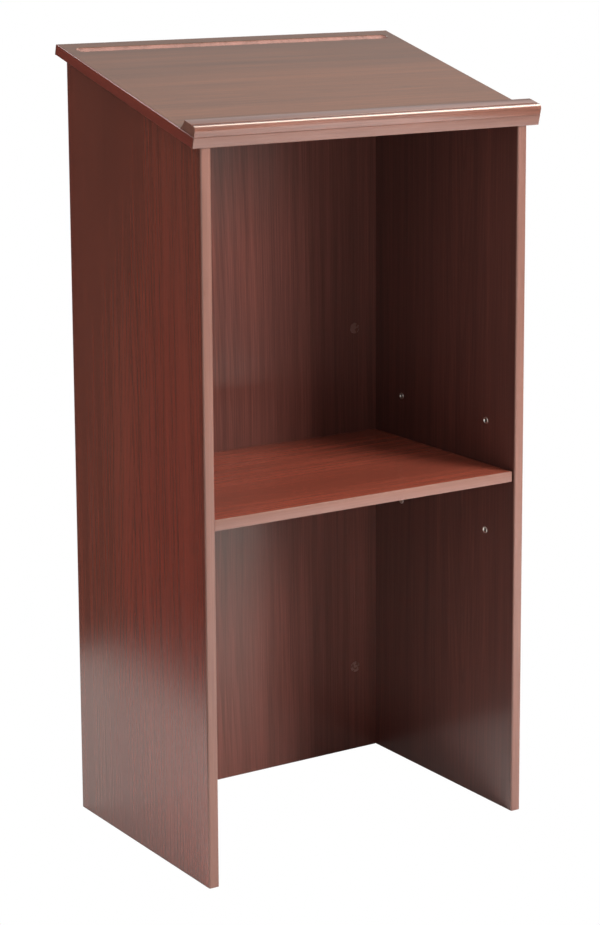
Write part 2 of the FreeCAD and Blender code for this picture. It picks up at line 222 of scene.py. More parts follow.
class Graph:
    """Adds nodes to a node tree, by type, settings and socket values or links."""

    def __init__(self, tree):
        self.tree = tree

    def node(self, kind, settings=None, sockets=None, output=0):
        made = self.tree.nodes.new(kind)
        for name, value in (settings or {}).items():
            if name == "stops":
                self.set_stops(made.color_ramp, value)
            else:
                setattr(made, name, value)
        for key, value in (sockets or {}).items():
            self.feed(made.inputs[key], value)
        return Wire(self, made.outputs[output])

    def feed(self, socket, value):
        if isinstance(value, Wire):
            self.tree.links.new(value.socket, socket)
        else:
            socket.default_value = value

    @staticmethod
    def set_stops(ramp, stops):
        while len(ramp.elements) < len(stops):
            ramp.elements.new(0.5)
        for element, (place, colour) in zip(ramp.elements, stops):
            element.position = place
            element.color = (*colour, 1)

    def vector(self, x, y, z):
        return self.node("ShaderNodeCombineXYZ", None, {"X": x, "Y": y, "Z": z})

    def noise(self, x, y, z, detail=2.0, roughness=0.5):
        """Soft noise, about 0.5 in the middle, one feature for each unit of its coordinates."""
        sockets = {"Vector": self.vector(x, y, z), "Scale": 1.0, "Detail": detail, "Roughness": roughness}
        return self.node("ShaderNodeTexNoise", None, sockets)

    def ramp(self, value, stops):
        return self.node("ShaderNodeValToRGB", {"stops": stops}, {"Fac": value})

    def mix(self, factor, one, two):
        """Colour one turning into colour two as factor goes from 0 to 1."""
        paint = [value if isinstance(value, Wire) else (*value, 1) for value in (one, two)]
        colour_sockets = {0: factor, 6: paint[0], 7: paint[1]}
        return self.node("ShaderNodeMix", {"data_type": "RGBA"}, colour_sockets, output=2)


class Finish(Graph):
    """A material with one Principled shader."""

    def __init__(self, name):
        self.material = bpy.data.materials.new(name)
        self.material.use_nodes = True
        super().__init__(self.material.node_tree)
        self.shader = next(node for node in self.tree.nodes if node.type == "BSDF_PRINCIPLED")

    def place(self, turn=0.0, axes="XYZ"):
        """The object's own coordinates in metres, turned back about X, in the order of axes."""
        position = self.node("ShaderNodeTexCoord", output="Object")
        if turn:
            position = self.node("ShaderNodeMapping", None, {"Vector": position, "Rotation": (-turn, 0, 0)})
        return [self.node("ShaderNodeSeparateXYZ", None, {"Vector": position}, output=axis) for axis in axes]

    def tones(self, value, colour, dark, light):
        """A colour, darker where a value is low and lighter where it is high.

        dark and light each give a value and the share of the colour that it turns into.
        """
        stops = [(dark[0], dim(colour, dark[1])), (0.5, tuple(colour)), (light[0], dim(colour, light[1]))]
        return self.ramp(value, stops)

    def bump(self, height, distance, strength):
        return self.node("ShaderNodeBump", None,
                         {"Height": height, "Distance": distance, "Strength": strength})

    def finish(self, **sockets):
        """Sets the shader's sockets, written as words joined by underscores."""
        for words, value in sockets.items():
            name = words.replace("_", " ").title().replace("Ior", "IOR")
            self.feed(self.shader.inputs[name], value)
        return self.material


def dim(colour, share):
    """A colour made darker or lighter by a share."""
    return tuple(channel * share for channel in colour)


# Finishes

# The patterns of the mahogany decor, as features in a metre along the grain and across it
BEND, WANDER, CLOUDS, DRIFT, SMEARS = (1.2, 5.0), (0.5, 4.0), (0.9, 5.0), (0.6, 3.2), (9.0, 11.0)
BREAKS, FIBRES, RIBBONS, PORES = (6.0, 60.0), (5.5, 520.0), (0.9, 62.0), (42.0, 1250.0)


def mahogany(name, middle, brown, axes, slope=0.0, figure=0.0, ring=9 * mm, gloss=0.21, rise=1.0,
             brown_from=0.5, contrast=1.0, haze=0.0, shine=0.5, inside=None):
    """Printed mahogany decor: arched growth rings, fibres, open pores and slow changes of tone.

    axes says which of X, Y and Z run along the grain, across it and through the board. figure is
    where the arches are centred across the grain, ring how far apart they are, and rise turns them
    over where it is -1. gloss is the roughness and shine the strength of the reflection. The decor
    turns brown where its drift is above brown_from. inside gives the colour of the face towards the
    compartments, a darker tone that is painted shade, the middle of the board's thickness and the side
    of it that the face is on, and haze is how much of a dull coat that face has.
    """
    decor = Finish(name)
    along, across, through = decor.place(slope, axes)
    unlike_faces = 57.0
    face = through * unlike_faces

    def pattern(per_metre, sideways, shift=0.0, **character):
        """Noise of a pattern, shifted to be unlike another one's."""
        return decor.noise(along * per_metre[0], sideways * per_metre[1], face + shift, **character)

    most_bend = 30 * mm
    bent = across + (pattern(BEND, across, detail=0.0) - 0.5) * most_bend
    offset = bent - figure
    arch_tip, arch_lean = 5 * mm, rise / 15
    arch = (offset * offset + arch_tip ** 2).root() + along * arch_lean
    rings_astray = 1.6
    saw = (arch / ring + pattern(WANDER, across, 11.0, detail=0.0) * rings_astray).fraction()
    in_figure = 1 - offset.size().step(20 * mm, 100 * mm)
    broken = pattern(BREAKS, bent, 4.0).step(0.38, 0.55)
    ring_lines = saw.step(0.70, 0.93) * (1 - saw.step(0.95, 1.0)) * (in_figure * 0.8 + 0.14) * broken
    fibres = pattern(FIBRES, bent, detail=4.0, roughness=0.66)
    ribbons = pattern(RIBBONS, bent, 5.0, detail=3.0, roughness=0.6)
    clouds = pattern(CLOUDS, across, 3.0, detail=1.0)
    pores = pattern(PORES, bent, detail=2.0).step(0.60, 0.74)
    tone = (0.5 + (fibres - 0.5) * 0.85 * contrast + (ribbons - 0.5) * 0.62 * contrast
            + (saw - 0.5) * in_figure * 0.10 + (clouds - 0.5) * 0.45)
    red = decor.tones(tone, middle, (0.12, 0.34), (0.90, 1.95))
    umber = decor.tones(tone, brown, (0.12, 0.40), (0.90, 1.90))
    drift = decor.noise(along * DRIFT[0] + 7.0, across * DRIFT[1], face, detail=1.0)
    wood = decor.mix(drift.step(brown_from - 0.10, brown_from + 0.16) * 0.55, red, umber)
    # Painted shade: the face towards the compartments is given a darker tone of the decor
    if inside:
        shade, board_middle, side = inside
        faces_in = ((through - board_middle) * side).step(-1 * mm, 1 * mm)
        wood = decor.mix(faces_in, wood, decor.tones(tone, shade, (0.12, 0.36), (0.90, 1.90)))
        haze = faces_in * haze
    wood = decor.mix(ring_lines * 0.60 * contrast, wood, dim(brown, 0.38))
    wood = decor.mix(pores * 0.36 * contrast, wood, dim(brown, 0.40))
    smears = pattern(SMEARS, across, 2.0, detail=3.0)
    warm_gloss = (1.0, 0.95, 0.87, 1.0)
    return decor.finish(base_color=wood, roughness=gloss + (smears - 0.5) * 0.06 + pores * 0.03,
                        specular_ior_level=shine, specular_tint=warm_gloss,
                        coat_weight=haze, coat_roughness=0.60,
                        normal=decor.bump(fibres * 0.35 - pores, 0.04 * mm, 0.5))


def edging(name, colour, axes, slope=0.0, gloss=0.33):
    """Plastic edging with a fine printed grain and a faint extruded ripple along its length."""
    band = Finish(name)
    along, across, through = band.place(slope, axes)
    grain = band.noise(along * 8.0, across * 520.0, through * 520.0, detail=4.0, roughness=0.6)
    patches = band.noise(along * 2.6, across * 20.0, through * 20.0, detail=2.0)
    tone = 0.5 + (grain - 0.5) * 0.75 + (patches - 0.5) * 0.5
    paint = band.tones(tone, colour, (0.15, 0.62), (0.85, 1.32))
    specks = band.noise(along * 90.0, across * 900.0, through * 900.0).step(0.66, 0.78)
    paint = band.mix(specks * 0.45, paint, dim(colour, 0.35))
    rub = band.noise(along * 30.0, across * 60.0, through * 60.0, detail=3.0)
    return band.finish(base_color=paint, roughness=gloss + (rub - 0.5) * 0.14,
                       normal=band.bump(grain * 0.6 - specks, 0.05 * mm, 0.5))


def stained_moulding(name, colour, slope):
    """Solid stained wood under a thin lacquer, its grain running across the lectern."""
    wood = Finish(name)
    x, y, z = wood.place(slope)
    sway = wood.noise(x * 3.0, y * 30.0, z * 30.0) - 0.5
    fibres = wood.noise(x * 11.0, (y + sway * 1.5 * mm) * 620.0, z * 620.0, detail=4.0, roughness=0.62)
    bars = wood.noise(x * 2.2, y * 90.0, z * 90.0, detail=2.0)
    tone = 0.5 + (fibres - 0.5) * 0.9 + (bars - 0.5) * 0.7
    paint = wood.tones(tone, colour, (0.15, 0.55), (0.88, 1.40))
    pores = wood.noise(x * 70.0, y * 1500.0, z * 1500.0).step(0.62, 0.74)
    paint = wood.mix(pores * 0.5, paint, dim(colour, 0.28))
    rub = wood.noise(x * 25.0, y * 40.0, z * 40.0, detail=3.0)
    return wood.finish(base_color=paint, roughness=0.34 + (rub - 0.5) * 0.12, specular_ior_level=0.2,
                       coat_weight=0.85, coat_roughness=0.18,
                       normal=wood.bump(fibres * 0.4 - pores, 0.06 * mm, 0.6))


def pressed_fibres(name, colour, fleck, roughness):
    """Pressed wood fibres: short flecks in every direction over a mottled ground."""
    sheet = Finish(name)
    x, y, z = sheet.place()
    mottle = sheet.noise(x * 60.0, y * 60.0, z * 60.0, detail=4.0, roughness=0.65)
    flecks = sheet.noise(x * 420.0, y * 900.0, z * 900.0, detail=3.0)
    cross_flecks = sheet.noise(x * 900.0, y * 420.0, z * 900.0 + 9.0, detail=3.0)
    tone = 0.5 + (mottle - 0.5) * 1.2 + (flecks - 0.5) * fleck + (cross_flecks - 0.5) * fleck
    paint = sheet.tones(tone, colour, (0.18, 0.55), (0.85, 1.4))
    return sheet.finish(base_color=paint, roughness=roughness + (mottle - 0.5) * 0.2, specular_ior_level=0.1,
                        normal=sheet.bump(flecks + cross_flecks, 0.08 * mm, 0.5))


def moulded_plastic(name, colour, roughness=0.28):
    """Moulded plastic with a fine spark-eroded texture and faint handling marks."""
    plastic = Finish(name)
    x, y, z = plastic.place()
    texture = plastic.noise(x * 2600.0, y * 2600.0, z * 2600.0, detail=2.0)
    marks = plastic.noise(x * 160.0, y * 160.0, z * 160.0, detail=4.0)
    paint = plastic.tones(marks, colour, (0.25, 0.82), (0.8, 1.2))
    return plastic.finish(base_color=paint, roughness=roughness + (marks - 0.5) * 0.16,
                          normal=plastic.bump(texture, 0.02 * mm, 0.35))


def plated_metal(name, colour, roughness, streaks):
    """Plated or cast metal: streaks across the lectern, and small dull patches."""
    metal = Finish(name)
    x, y, z = metal.place()
    lines = metal.noise(x * 120.0, y * 1400.0, z * 1400.0, detail=3.0)
    dull = metal.noise(x * 380.0, y * 380.0, z * 380.0, detail=4.0, roughness=0.6)
    paint = metal.tones(dull, colour, (0.25, 0.72), (0.75, 1.08))
    rough = roughness + (dull - 0.5) * 0.20 + (lines - 0.5) * streaks
    return metal.finish(base_color=paint, metallic=1.0, roughness=rough,
                        normal=metal.bump(lines, 0.01 * mm, streaks))


def blackened_steel(name):
    """Black-finished screw steel, worn brighter in small spots."""
    steel = Finish(name)
    x, y, z = steel.place()
    wear = steel.noise(x * 700.0, y * 700.0, z * 700.0, detail=4.0, roughness=0.65)
    worn = wear.step(0.60, 0.74)
    paint = steel.mix(worn, (0.022, 0.022, 0.024), (0.20, 0.19, 0.18))
    return steel.finish(base_color=paint, metallic=worn * 0.8 + 0.1, roughness=0.42 - worn * 0.1,
                        normal=steel.bump(wear, 0.02 * mm, 0.4))


def raw_beech(name, colour, along):
    """Unfinished beech with its short dark flecks."""
    wood = Finish(name)
    places = dict(zip("XYZ", wood.place()))

    def drawn_out(length_count, width_count, **character):
        """Noise with one count of features in a metre along the grain and another across it."""
        counts = [length_count if axis == along else width_count for axis in places]
        return wood.noise(*(place * count for place, count in zip(places.values(), counts)), **character)

    grain = drawn_out(18.0, 500.0, detail=3.0)
    flecks = drawn_out(260.0, 1600.0).step(0.63, 0.7)
    paint = wood.tones(grain, colour, (0.25, 0.78), (0.75, 1.15))
    paint = wood.mix(flecks * 0.6, paint, dim(colour, 0.5))
    return wood.finish(base_color=paint, roughness=0.68 + (grain - 0.5) * 0.2,
                       normal=wood.bump(grain, 0.05 * mm, 0.5))


# Shaping

# How many facets make up a rounded edge, an arc of an outline and a turned part's circumference
ROUND_STEPS, EASE_STEPS = 6, 3
GROOVE_END_STEPS, BEAD_STEPS, COVE_STEPS, DOME_STEPS, RIM_STEPS, TIP_STEPS = 14, 26, 10, 10, 5, 4
GROOVE_SIDES, CAP_SIDES, SLEEVE_SIDES, PIN_SIDES = 84, 56, 48, 40


def corners_of(box):
    """The low and high corner of a node, as two vectors."""
    return Vector(box[0]), Vector(box[1])


class TopFrame:
    """Where the sloping top lies. Its pieces are drawn flat, Y up the slope and Z square to the board.

    The zero of the drawing is the near upper corner of the top, in the middle of its width.
    """

    def __init__(self, sizes):
        self.slope = sizes.top_slope
        cosine, sine = math.cos(self.slope), math.sin(self.slope)
        low, high = corners_of(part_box("top_laminate"))
        self.laminate = self.thickness(low, high)
        sheet_length = (high.y - low.y - self.laminate * sine) / cosine
        self.half_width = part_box("top_speaker_edge_band")[1].x
        self.band = self.half_width - high.x
        self.length = sheet_length + 2 * self.band
        side_low, side_high = corners_of(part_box("left_side_panel"))
        self.board = side_high.x - side_low.x
        self.backer = self.thickness(*corners_of(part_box("top_backer")))
        origin = Vector((0, low.y - self.band * cosine, low.z + self.laminate * cosine - self.band * sine))
        self.matrix = Matrix.Translation(origin) @ Matrix.Rotation(self.slope, 4, "X")

    def thickness(self, low, high):
        """How thick a sloping sheet is that just fills the box between two corners."""
        rise, run = high.z - low.z, high.y - low.y
        return (rise * math.cos(self.slope) - run * math.sin(self.slope)) / math.cos(2 * self.slope)

    def underside(self):
        """A point on the underside of the top, and the direction square to it."""
        return self.matrix @ Vector((0, 0, -self.board)), self.matrix.to_3x3() @ Z


class Outline:
    """A wire in one plane, drawn with straight runs and arcs, for extruding or spinning."""

    def __init__(self, start, mesh=None):
        self.mesh = mesh or bmesh.new()
        self.first = self.last = self.mesh.verts.new(start)
        self.verts = [self.first]

    def run_to(self, *points):
        for point in points:
            made = bmesh.ops.extrude_vert_indiv(self.mesh, verts=[self.last])
            self.last = made["verts"][0]
            self.last.co = point
            self.verts.append(self.last)
        return self

    def turn(self, centre, axis, angle, steps):
        """An arc about a centre, by the right-hand rule about axis."""
        for _ in range(steps):
            made = bmesh.ops.spin(self.mesh, geom=[self.last], cent=centre, axis=axis, steps=1,
                                  angle=angle / steps)
            self.last = next(item for item in made["geom_last"] if isinstance(item, bmesh.types.BMVert))
            self.verts.append(self.last)
        return self

    def close(self):
        self.mesh.edges.new((self.last, self.first))
        return self

    def edges(self):
        members = set(self.verts)
        return [edge for edge in self.mesh.edges if all(vert in members for vert in edge.verts)]

    def pull(self, travel):
        """Fills the outline and extrudes it."""
        face = bmesh.ops.contextual_create(self.mesh, geom=self.edges())["faces"][0]
        made = bmesh.ops.extrude_face_region(self.mesh, geom=[face])
        moved = [item for item in made["geom"] if isinstance(item, bmesh.types.BMVert)]
        bmesh.ops.translate(self.mesh, vec=travel, verts=moved)
        return self.mesh

    def spin(self, centre, axis, steps):
        """Turns the outline right round an axis, and welds its poles."""
        geometry = self.verts + self.edges()
        bmesh.ops.spin(self.mesh, geom=geometry, cent=centre, axis=axis, angle=math.tau, steps=steps,
                       use_merge=True)
        return self.mesh


def bar(low, high, mesh=None):
    """A rectangular bar between two corners."""
    mesh = mesh or bmesh.new()
    size = high - low
    place = Matrix.Translation((low + high) / 2) @ Matrix.Diagonal((*size, 1))
    bmesh.ops.create_cube(mesh, size=1.0, matrix=place)
    return mesh


def ease(mesh, edges, radius, segments):
    """Rounds the given edges."""
    bmesh.ops.bevel(mesh, geom=list(edges), offset=radius, offset_type="OFFSET", segments=segments,
                    profile=0.5, affect="EDGES", material=-1, clamp_overlap=True)


def round_band(mesh, along, outward, rounding, arris):
    """Rounds the two outer edges of a strip of edging, and eases the two against the board."""
    ease(mesh, long_edges(mesh, along, outward), rounding, ROUND_STEPS)
    ease(mesh, long_edges(mesh, along, -outward), arris, 1)
    return mesh


def long_edges(mesh, along, side):
    """The edges that run along one direction on the outermost side of a bar."""
    runs = [edge for edge in mesh.edges if edge_direction(edge).cross(along).length < 0.01]
    reach = max(edge_middle(edge).dot(side) for edge in runs)
    return [edge for edge in runs if edge_middle(edge).dot(side) > reach - 0.01 * mm]


def edge_direction(edge):
    return (edge.verts[1].co - edge.verts[0].co).normalized()


def edge_middle(edge):
    return (edge.verts[0].co + edge.verts[1].co) / 2


def cut_above(mesh, point, normal):
    """Saws off everything above a plane and closes the cut."""
    geometry = mesh.verts[:] + mesh.edges[:] + mesh.faces[:]
    made = bmesh.ops.bisect_plane(mesh, geom=geometry, plane_co=point, plane_no=normal, clear_outer=True,
                                  dist=0.001 * mm)
    cut = [item for item in made["geom_cut"] if isinstance(item, bmesh.types.BMEdge)]
    bmesh.ops.contextual_create(mesh, geom=cut)


def tidy(mesh):
    """Welds doubled points and turns every face outwards."""
    weld = 0.005 * mm
    bmesh.ops.remove_doubles(mesh, verts=mesh.verts[:], dist=weld)
    bmesh.ops.recalc_face_normals(mesh, faces=mesh.faces[:])


def soften(mesh):
    """Smooth shading, with a crease wherever two faces meet at a sharp angle."""
    sharp = math.radians(32)
    for face in mesh.faces:
        face.smooth = True
    for edge in mesh.edges:
        edge.smooth = edge.is_manifold and edge.calc_face_angle() < sharp


def as_object(mesh, name="scratch"):
    """An object in the scene that holds a mesh."""
    data = bpy.data.meshes.new(name)
    mesh.to_mesh(data)
    mesh.free()
    holder = bpy.data.objects.new(name, data)
    bpy.context.scene.collection.objects.link(holder)
    return holder


def make_piece(name, mesh, body, nodes, material):
    """Turns a closed mesh into a named piece that rides on a body and stands for CAD nodes."""
    tidy(mesh)
    if not all(edge.is_manifold for edge in mesh.edges):
        raise RuntimeError(name + " is not closed")
    soften(mesh)
    piece = as_object(mesh, name)
    piece.data.materials.append(material)
    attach(piece, body)
    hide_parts(*nodes)
    return piece


def dress(material, *nodes):
    """Gives CAD nodes a finish."""
    for name in nodes:
        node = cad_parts[name]
        if node.material_slots:
            for slot in node.material_slots:
                slot.material = material
        else:
            node.data.materials.append(material)


# Operators, one for each piece or group of like pieces

# Painted shade: the share of its brightness that edging keeps out of the speaker's sight, and underfoot,
# where it is darkened to stand in for shade
SHADED_AWAY, SHADED_UNDERFOOT = 0.62, 0.7


def settings(context):
    """The sizes and the finishes that the user has set."""
    return context.scene.lectern_sizes, context.scene.lectern_finishes


class LECTERN_OT_finish_boards(bpy.types.Operator):
    """Gives the side panels, the front panel, the shelf and their foot bands their decor"""

    bl_idname = "lectern.finish_boards"
    bl_label = "Boards"

    def execute(self, context):
        colours = context.scene.lectern_finishes
        red, brown, inner = colours.mahogany, colours.mahogany_brown, colours.inner_decor_painted_shade
        left = mahogany("mahogany_left_side", red, brown, "ZYX", figure=0.02, contrast=0.5, shine=1.0)
        dress(left, "left_side_panel")
        # Painted shade: the right side's face towards the compartments takes the inner decor, darkened
        # further
        right_middle = sum(corner.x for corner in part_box("right_side_panel")) / 2
        right = mahogany("mahogany_right_side", red, brown, "ZYX", figure=-0.06, rise=-1.0, brown_from=0.60,
                         contrast=0.8, haze=0.50, inside=(dim(inner, 0.85), right_middle, -1))
        dress(right, "right_side_panel")
        # Painted shade: the front panel's face towards the compartments takes the darker inner decor
        front_middle = sum(corner.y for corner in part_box("front_panel")) / 2
        front = mahogany("mahogany_front", red, brown, "ZXY", figure=-0.05, ring=11 * mm, contrast=0.8,
                         haze=0.16, shine=0.42, inside=(inner, front_middle, -1))
        dress(front, "front_panel")
        # Painted light: the shelf takes a lighter tone of the decor
        shelf = mahogany("mahogany_shelf", colours.shelf_decor_painted_light, brown, "XYZ", figure=0.10,
                         brown_from=0.66, contrast=0.4)
        dress(shelf, "shelf_board")
        # Painted shade: the foot bands' edging is darkened as if in shade underfoot
        foot_edging_painted_shade = dim(colours.edging, SHADED_UNDERFOOT)
        dress(edging("edging_foot", foot_edging_painted_shade, "YXZ"), "left_side_foot_band", "right_side_foot_band")
        dress(edging("edging_front_foot", foot_edging_painted_shade, "XYZ"), "front_panel_foot_band")
        return {"FINISHED"}


class LECTERN_OT_build_side_edging(bpy.types.Operator):
    """Builds the upright edging of the side panels, sawn to the slope of the top"""

    bl_idname = "lectern.build_side_edging"
    bl_label = "Side panel edging"

    def execute(self, context):
        sizes, colours = settings(context)
        underside = TopFrame(sizes).underside()
        near_finish = edging("edging_upright", colours.edging, "ZXY")
        # Painted shade: the edging on the audience side is darkened as if in shade
        far_finish = edging("edging_upright_far", dim(colours.edging, SHADED_AWAY), "ZXY")
        kinds = (("speaker", -Y, sizes.wide_band_round, near_finish),
                 ("audience", Y, sizes.thin_band_round, far_finish))
        for side in ("left", "right"):
            for edge_name, outward, rounding, finish in kinds:
                node = side + "_side_" + edge_name + "_edge_band"
                mesh = round_band(bar(*corners_of(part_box(node))), Z, outward, rounding, sizes.arris)
                cut_above(mesh, *underside)
                make_piece(side + "_upright_" + edge_name + "_edging", mesh, "lectern",
                           [node], finish)
        return {"FINISHED"}


class LECTERN_OT_build_shelf_edging(bpy.types.Operator):
    """Builds the edging round the shelf"""

    bl_idname = "lectern.build_shelf_edging"
    bl_label = "Shelf edging"

    def execute(self, context):
        sizes, colours = settings(context)
        across = edging("edging_across", colours.edging, "XZY")
        # Painted shade: the shelf's far edge and ends are darkened as if in shade
        ends = edging("edging_shelf_ends", dim(colours.edging, SHADED_AWAY), "YZX")
        kinds = (("speaker_edge", X, -Y, sizes.top_band_round, across),
                 ("audience_edge", X, Y, sizes.thin_band_round, ends),
                 ("left_end", Y, -X, sizes.thin_band_round, ends),
                 ("right_end", Y, X, sizes.thin_band_round, ends))
        for name, along, outward, rounding, finish in kinds:
            node = "shelf_" + name + "_band"
            mesh = round_band(bar(*corners_of(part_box(node))), along, outward, rounding, sizes.arris)
            make_piece("shelf_" + name + "_edging", mesh, "shelf", [node], finish)
        return {"FINISHED"}


class LECTERN_OT_build_top_edging(bpy.types.Operator):
    """Builds the edging round the sloping top"""

    bl_idname = "lectern.build_top_edging"
    bl_label = "Top edging"

    def execute(self, context):
        sizes, colours = settings(context)
        top = TopFrame(sizes)
        half, band, length, board = top.half_width, top.band, top.length, top.board
        across = edging("edging_top_across", dim(colours.edging, 0.85), "XZY", top.slope)
        sloping = edging("edging_top_sides", colours.mahogany, "YZX", top.slope)
        places = {
            "speaker": (Vector((-half, 0, -board)), Vector((half, band, 0)), X, -Y, across),
            "audience": (Vector((-half, length - band, -board)), Vector((half, length, 0)), X, Y, across),
            "left": (Vector((-half, band, -board)), Vector((band - half, length - band, 0)), Y, -X, sloping),
            "right": (Vector((half - band, band, -board)), Vector((half, length - band, 0)), Y, X, sloping),
        }
        for side, (low, high, along, outward, finish) in places.items():
            mesh = round_band(bar(low, high), along, outward, sizes.top_band_round, sizes.arris)
            mesh.transform(top.matrix)
            make_piece("top_" + side + "_edging", mesh, "lectern",
                       ["top_" + side + "_edge_band"], finish)
        return {"FINISHED"}


class LECTERN_OT_build_top_board(bpy.types.Operator):
    """Builds the laminate and the core of the top, with the pen groove cut into them"""

    bl_idname = "lectern.build_top_board"
    bl_label = "Top board"

    def execute(self, context):
        sizes, colours = settings(context)
        top = TopFrame(sizes)
        half = top.half_width - top.band
        near, far = top.band, top.length - top.band
        laminate = bar(Vector((-half, near, -top.laminate)), Vector((half, far, 0)))
        core = bar(Vector((-half, near, top.backer - top.board)), Vector((half, far, -top.laminate)))
        laminate, core = (self.grooved(mesh, sizes, top) for mesh in (laminate, core))
        for mesh in (laminate, core):
            mesh.transform(top.matrix)
        decor = mahogany("mahogany_top", colours.top_decor, colours.top_decor, "XYZ", slope=top.slope,
                         figure=0.24, gloss=0.32, contrast=0.75)
        make_piece("top_decor_sheet", laminate, "lectern", ["top_laminate"], decor)
        stained = pressed_fibres("stained_core", colours.core, 0.5, 0.5)
        make_piece("top_grooved_core", core, "lectern", ["top_core"], stained)
        backer = pressed_fibres("brown_backer", colours.backer, 0.25, 0.6)
        dress(backer, "top_backer")
        return {"FINISHED"}

    @staticmethod
    def grooved(mesh, sizes, top):
        """A board of the top with the path of a round-nosed cutter taken out of it."""
        radius = sizes.groove_radius
        axis_height = radius - sizes.groove_depth
        half_mouth = math.sqrt(radius ** 2 - axis_height ** 2)
        end = top.half_width - sizes.groove_from_side_edge - half_mouth
        y = top.length - sizes.groove_from_far_edge
        left, right = Vector((-end, y, axis_height)), Vector((end, y, axis_height))
        cutter = Outline(left - X * radius)
        cutter.turn(left, Y, math.pi / 2, GROOVE_END_STEPS).run_to(right + Z * radius)
        cutter.turn(right, Y, math.pi / 2, GROOVE_END_STEPS)
        tool = cutter.spin(left, X, GROOVE_SIDES)
        tidy(tool)
        blank_object, tool_object = (as_object(part) for part in (mesh, tool))
        cut = blank_object.modifiers.new("groove", "BOOLEAN")
        cut.operation = "DIFFERENCE"
        cut.solver = "EXACT"
        cut.object = tool_object
        graph = bpy.context.evaluated_depsgraph_get()
        result = bmesh.new()
        result.from_object(blank_object, graph)
        for spent in (blank_object, tool_object):
            bpy.data.objects.remove(spent)
        return result


class LECTERN_OT_build_paper_stop(bpy.types.Operator):
    """Builds the paper stop: a moulding with a bead on its near corner and a coved back"""

    bl_idname = "lectern.build_paper_stop"
    bl_label = "Paper stop"

    def execute(self, context):
        sizes, colours = settings(context)
        top = TopFrame(sizes)
        radius, height = sizes.bead_radius, sizes.stop_height
        left = -top.half_width

        def at(u, v):
            return Vector((left, u, v))

        outline = Outline(at(0, 0)).run_to(at(0, height - radius))
        centre = at(radius, height - radius)
        outline.turn(centre, -X, math.pi / 2 + sizes.bead_past_top, BEAD_STEPS)
        quirk = outline.last.co.copy()
        outline.run_to(at(quirk.y, height), at(sizes.stop_flat_end, height))
        self.cove(outline, at(sizes.stop_flat_end, height), at(sizes.stop_base, sizes.stop_lip),
                  sizes.stop_cove_sag)
        outline.run_to(at(sizes.stop_base, 0)).close()
        mesh = outline.pull(X * 2 * top.half_width)
        tidy(mesh)
        eased = [edge for edge in mesh.edges if self.is_outer_arris(edge, quirk, sizes)]
        ease(mesh, eased, sizes.stop_eased, EASE_STEPS)
        mesh.transform(top.matrix)
        finish = stained_moulding("stained_moulding", colours.moulding, top.slope)
        make_piece("beaded_paper_stop", mesh, "lectern", ["paper_stop"], finish)
        return {"FINISHED"}

    @staticmethod
    def cove(outline, start, end, sag):
        """A shallow hollow arc from start to end."""
        chord = end - start
        radius = (chord.length ** 2 / 4 + sag ** 2) / (2 * sag)
        side = chord.cross(X).normalized()
        if side.z < 0:
            side = -side
        centre = (start + end) / 2 + side * (radius - sag)
        angle = 2 * math.asin(chord.length / 2 / radius)
        outline.turn(centre, X, angle, COVE_STEPS)

    @staticmethod
    def is_outer_arris(edge, quirk, sizes):
        """True on sharp outward corners, apart from the quirk beside the bead."""
        sharp = math.radians(25)
        if edge.calc_face_angle_signed() < sharp:
            return False
        middle = edge_middle(edge)
        beside_bead = abs(middle.y - quirk.y) < 0.2 * mm
        below_flat = middle.z < sizes.stop_height - 0.1 * mm
        return not (beside_bead and below_flat)


class LECTERN_OT_build_cam_caps(bpy.types.Operator):
    """Builds the domed plastic caps over the cam fastenings"""

    bl_idname = "lectern.build_cam_caps"
    bl_label = "Cam caps"

    def execute(self, context):
        sizes, colours = settings(context)
        plastic = moulded_plastic("brown_plastic", colours.cap_plastic)
        radius, height = sizes.cap_radius, sizes.cap_height
        low, high = corners_of(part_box("front_cam_covers"))
        front = bmesh.new()
        for x in (low.x + radius, high.x - radius):
            for z in (low.z + radius, high.z - radius):
                self.cap(front, Vector((x, low.y + height, z)), -Y, radius, height)
        make_piece("front_panel_cam_caps", front, "lectern", ["front_cam_covers"], plastic)
        low, high = corners_of(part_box("top_cam_covers"))
        inner_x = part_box("right_side_panel")[0].x
        upper = bmesh.new()
        for side in (1, -1):
            for y, z in ((low.y + radius, low.z + radius), (high.y - radius, high.z - radius)):
                self.cap(upper, Vector((side * inner_x, y, z)), X * -side, radius, height)
        make_piece("side_panel_cam_caps", upper, "lectern", ["top_cam_covers"], plastic)
        return {"FINISHED"}

    @staticmethod
    def cap(mesh, centre, outward, radius, height):
        """A cap on a board's face: a thin rim, a rounded shoulder, and a low dome."""
        rim, shoulder = 0.55 * mm, 0.35 * mm
        stub_radius, stub = 2.4 * mm, 1.9 * mm
        dome = height - rim - shoulder * 0.3
        ball = (radius ** 2 + dome ** 2) / (2 * dome)
        ball_height = height - ball
        dome_edge = radius - shoulder

        def at(out, away):
            return centre + outward * out + Z * away

        outline = Outline(at(-stub, 0), mesh)
        outline.run_to(at(-stub, stub_radius), at(0, stub_radius), at(0, radius), at(rim, radius),
                       at(ball_height + math.sqrt(ball ** 2 - dome_edge ** 2), dome_edge))
        outline.turn(at(ball_height, 0), Z.cross(outward), math.asin(dome_edge / ball), DOME_STEPS)
        outline.spin(centre, outward, CAP_SIDES)


